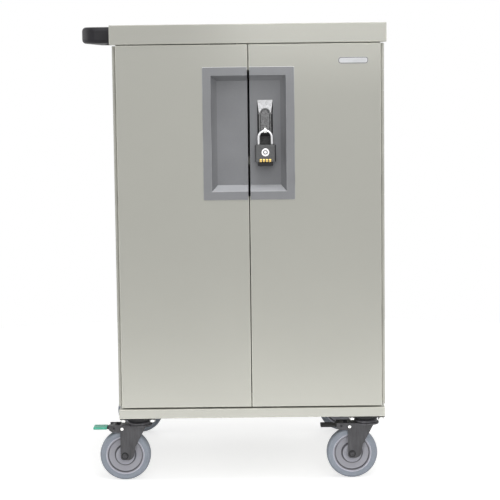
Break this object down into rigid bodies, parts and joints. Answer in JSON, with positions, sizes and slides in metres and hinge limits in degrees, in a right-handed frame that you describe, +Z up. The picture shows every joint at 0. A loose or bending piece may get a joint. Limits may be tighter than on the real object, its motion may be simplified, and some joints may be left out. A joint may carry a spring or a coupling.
{
  "type": "device_charging_cart",
  "caption": "Steel device charging cart with two front doors, a shared pull pocket, padlocked lift latch, side push handle, slotted shelves, a louvred rear door and swivel casters.",
  "frame": {"origin": "On the floor, under the middle of the overall box, push handle included; the cabinet's own middle plane is at X = +0.03825 m.", "axes": "+Z up; the two front doors face -Y; the push handle is on the -X side."},
  "size_m": [0.7494, 0.673, 1.1345],
  "materials": {
    "paint_putty": "satin powder coat",
    "handle_black": "fine texture",
    "zinc_steel": "zinc plated",
    "hinge_steel": "satin powder coat",
    "divider_plastic": "moulded",
    "black_plastic": "moulded",
    "pocket_plastic": "fine grain",
    "latch_metal": "satin",
    "latch_silver": "satin metallic",
    "chrome": "polished",
    "padlock_case": "satin",
    "brass": "polished",
    "fork_steel": "black coating",
    "axle_steel": "zinc plated",
    "wheel_plastic": "moulded",
    "tyre_rubber": "non-marking rubber",
    "pedal_green": "moulded",
    "pedal_black": "moulded"
  },
  "bodies": {
    "cabinet": {"base_pan": "paint_putty", "side_panel_left": "paint_putty", "side_panel_right": "paint_putty", "header_rails": "paint_putty", "top_cap": "paint_putty", "push_handle": "handle_black", "handle_bolts": "zinc_steel", "shelves": "paint_putty", "bay_dividers": "divider_plastic", "bay_back_panel": "paint_putty", "power_strips": "black_plastic", "power_inlet": "black_plastic", "hinge_frame_leaves": "hinge_steel", "hinge_pins": "zinc_steel", "latch_keepers": "zinc_steel", "door_catches": "black_plastic", "caster_plates": "fork_steel", "caster_plate_bolts": "zinc_steel"},
    "power_switch": {"power_switch": "black_plastic"},
    "left_door": {"left_door": "paint_putty", "left_hinge_leaf": "hinge_steel", "left_pull_pocket": "pocket_plastic"},
    "right_door": {"right_door": "paint_putty", "right_hinge_leaf": "hinge_steel", "right_pull_pocket": "pocket_plastic", "latch_housing": "latch_silver", "latch_pivot_pin": "zinc_steel", "rod_guides": "zinc_steel"},
    "latch_lever": {"latch_lever": "latch_metal"},
    "latch_rocker": {"latch_rocker": "zinc_steel"},
    "latch_rod_upper": {"latch_rod_upper": "zinc_steel"},
    "latch_rod_lower": {"latch_rod_lower": "zinc_steel"},
    "padlock_shackle": {"padlock_shackle": "chrome"},
    "padlock_body": {"padlock_body": "padlock_case", "padlock_bumper": "black_plastic"},
    "rear_door": {"rear_door": "paint_putty", "rear_hinge_leaf": "hinge_steel"},
    "rear_lock": {"rear_lock": "chrome"},
    "padlock_dial_1": {"padlock_dial_1": "brass"},
    "padlock_dial_2": {"padlock_dial_2": "brass"},
    "padlock_dial_3": {"padlock_dial_3": "brass"},
    "padlock_dial_4": {"padlock_dial_4": "brass"},
    "caster_fork_front_left": {"caster_fork_front_left": "fork_steel", "caster_axle_front_left": "axle_steel"},
    "wheel_front_left": {"wheel_core_front_left": "wheel_plastic", "wheel_tyre_front_left": "tyre_rubber"},
    "brake_pedal_front_left": {"brake_pedal_front_left": "pedal_green"},
    "caster_fork_front_right": {"caster_fork_front_right": "fork_steel", "caster_axle_front_right": "axle_steel"},
    "wheel_front_right": {"wheel_core_front_right": "wheel_plastic", "wheel_tyre_front_right": "tyre_rubber"},
    "brake_pedal_front_right": {"brake_pedal_front_right": "pedal_black"},
    "caster_fork_rear_left": {"caster_fork_rear_left": "fork_steel", "caster_axle_rear_left": "axle_steel"},
    "wheel_rear_left": {"wheel_core_rear_left": "wheel_plastic", "wheel_tyre_rear_left": "tyre_rubber"},
    "caster_fork_rear_right": {"caster_fork_rear_right": "fork_steel", "caster_axle_rear_right": "axle_steel"},
    "wheel_rear_right": {"wheel_core_rear_right": "wheel_plastic", "wheel_tyre_rear_right": "tyre_rubber"}
  },
  "joints": [
    {"name": "left_door_swing", "type": "hinge", "parent": "cabinet", "child": "left_door", "pos_m": [-0.28915, -0.31475, 0.63885], "axis": [0, 0, -1], "range_deg": [0, 180]},
    {"name": "right_door_swing", "type": "hinge", "parent": "cabinet", "child": "right_door", "pos_m": [0.36565, -0.31475, 0.63885], "axis": [0, 0, 1], "range_deg": [0, 180]},
    {"name": "rear_door_swing", "type": "hinge", "parent": "cabinet", "child": "rear_door", "pos_m": [-0.28915, 0.31475, 0.63885], "axis": [0, 0, 1], "range_deg": [0, 180]},
    {"name": "rear_lock_turn", "type": "hinge", "parent": "rear_door", "child": "rear_lock", "pos_m": [0.32465, 0.3345, 0.63885], "axis": [0, -1, 0], "range_deg": [0, 90]},
    {"name": "latch_lift", "type": "hinge", "parent": "right_door", "child": "latch_lever", "pos_m": [0.07845, -0.305, 0.9175], "axis": [-1, 0, 0], "range_deg": [0, 45]},
    {"name": "rocker_turn", "type": "hinge", "parent": "right_door", "child": "latch_rocker", "pos_m": [0.09795, -0.292, 0.88], "axis": [0, -1, 0], "range_deg": [0, 45]},
    {"name": "upper_rod_slide", "type": "slide", "parent": "right_door", "child": "latch_rod_upper", "axis": [0, 0, -1], "range_m": [0, 0.01384]},
    {"name": "lower_rod_slide", "type": "slide", "parent": "right_door", "child": "latch_rod_lower", "axis": [0, 0, 1], "range_m": [0, 0.01384]},
    {"name": "padlock_swing", "type": "hinge", "parent": "latch_lever", "child": "padlock_shackle", "pos_m": [0.07845, -0.3205, 0.876], "axis": [-1, 0, 0], "range_deg": [0, 75]},
    {"name": "padlock_release", "type": "slide", "parent": "padlock_shackle", "child": "padlock_body", "axis": [0, 0, -1], "range_m": [0, 0.009]},
    {"name": "padlock_dial_1_turn", "type": "hinge", "parent": "padlock_body", "child": "padlock_dial_1", "pos_m": [0.0672, -0.3253, 0.80345], "axis": [1, 0, 0], "continuous": true},
    {"name": "padlock_dial_2_turn", "type": "hinge", "parent": "padlock_body", "child": "padlock_dial_2", "pos_m": [0.0747, -0.3253, 0.80345], "axis": [1, 0, 0], "continuous": true},
    {"name": "padlock_dial_3_turn", "type": "hinge", "parent": "padlock_body", "child": "padlock_dial_3", "pos_m": [0.0822, -0.3253, 0.80345], "axis": [1, 0, 0], "continuous": true},
    {"name": "padlock_dial_4_turn", "type": "hinge", "parent": "padlock_body", "child": "padlock_dial_4", "pos_m": [0.0897, -0.3253, 0.80345], "axis": [1, 0, 0], "continuous": true},
    {"name": "power_switch_rock", "type": "hinge", "parent": "cabinet", "child": "power_switch", "pos_m": [0.35865, 0.235, 0.279], "axis": [0, -1, 0], "range_deg": [0, 16]},
    {"name": "caster_swivel_front_left", "type": "hinge", "parent": "cabinet", "child": "caster_fork_front_left", "pos_m": [-0.24675, -0.278, 0.149], "axis": [0, 0, 1], "continuous": true},
    {"name": "wheel_spin_front_left", "type": "hinge", "parent": "caster_fork_front_left", "child": "wheel_front_left", "pos_m": [-0.28175, -0.278, 0.0635], "axis": [0, 1, 0], "continuous": true},
    {"name": "brake_press_front_left", "type": "hinge", "parent": "caster_fork_front_left", "child": "brake_pedal_front_left", "pos_m": [-0.30875, -0.278, 0.134], "axis": [0, -1, 0], "range_deg": [0, 15]},
    {"name": "caster_swivel_front_right", "type": "hinge", "parent": "cabinet", "child": "caster_fork_front_right", "pos_m": [0.32325, -0.278, 0.149], "axis": [0, 0, 1], "continuous": true},
    {"name": "wheel_spin_front_right", "type": "hinge", "parent": "caster_fork_front_right", "child": "wheel_front_right", "pos_m": [0.28825, -0.278, 0.0635], "axis": [0, 1, 0], "continuous": true},
    {"name": "brake_press_front_right", "type": "hinge", "parent": "caster_fork_front_right", "child": "brake_pedal_front_right", "pos_m": [0.26125, -0.278, 0.134], "axis": [0, -1, 0], "range_deg": [0, 15]},
    {"name": "caster_swivel_rear_left", "type": "hinge", "parent": "cabinet", "child": "caster_fork_rear_left", "pos_m": [-0.24675, 0.278, 0.149], "axis": [0, 0, 1], "continuous": true},
    {"name": "wheel_spin_rear_left", "type": "hinge", "parent": "caster_fork_rear_left", "child": "wheel_rear_left", "pos_m": [-0.28175, 0.278, 0.0635], "axis": [0, 1, 0], "continuous": true},
    {"name": "caster_swivel_rear_right", "type": "hinge", "parent": "cabinet", "child": "caster_fork_rear_right", "pos_m": [0.32325, 0.278, 0.149], "axis": [0, 0, 1], "continuous": true},
    {"name": "wheel_spin_rear_right", "type": "hinge", "parent": "caster_fork_rear_right", "child": "wheel_rear_right", "pos_m": [0.28825, 0.278, 0.0635], "axis": [0, 1, 0], "continuous": true}
  ],
  "couplings": [
    {"joint": "rocker_turn", "follows": "latch_lift", "ratio": 1},
    {"joint": "upper_rod_slide", "follows": "latch_lift", "m_per_rad": 0.017556},
    {"joint": "lower_rod_slide", "follows": "latch_lift", "m_per_rad": 0.017556}
  ]
}
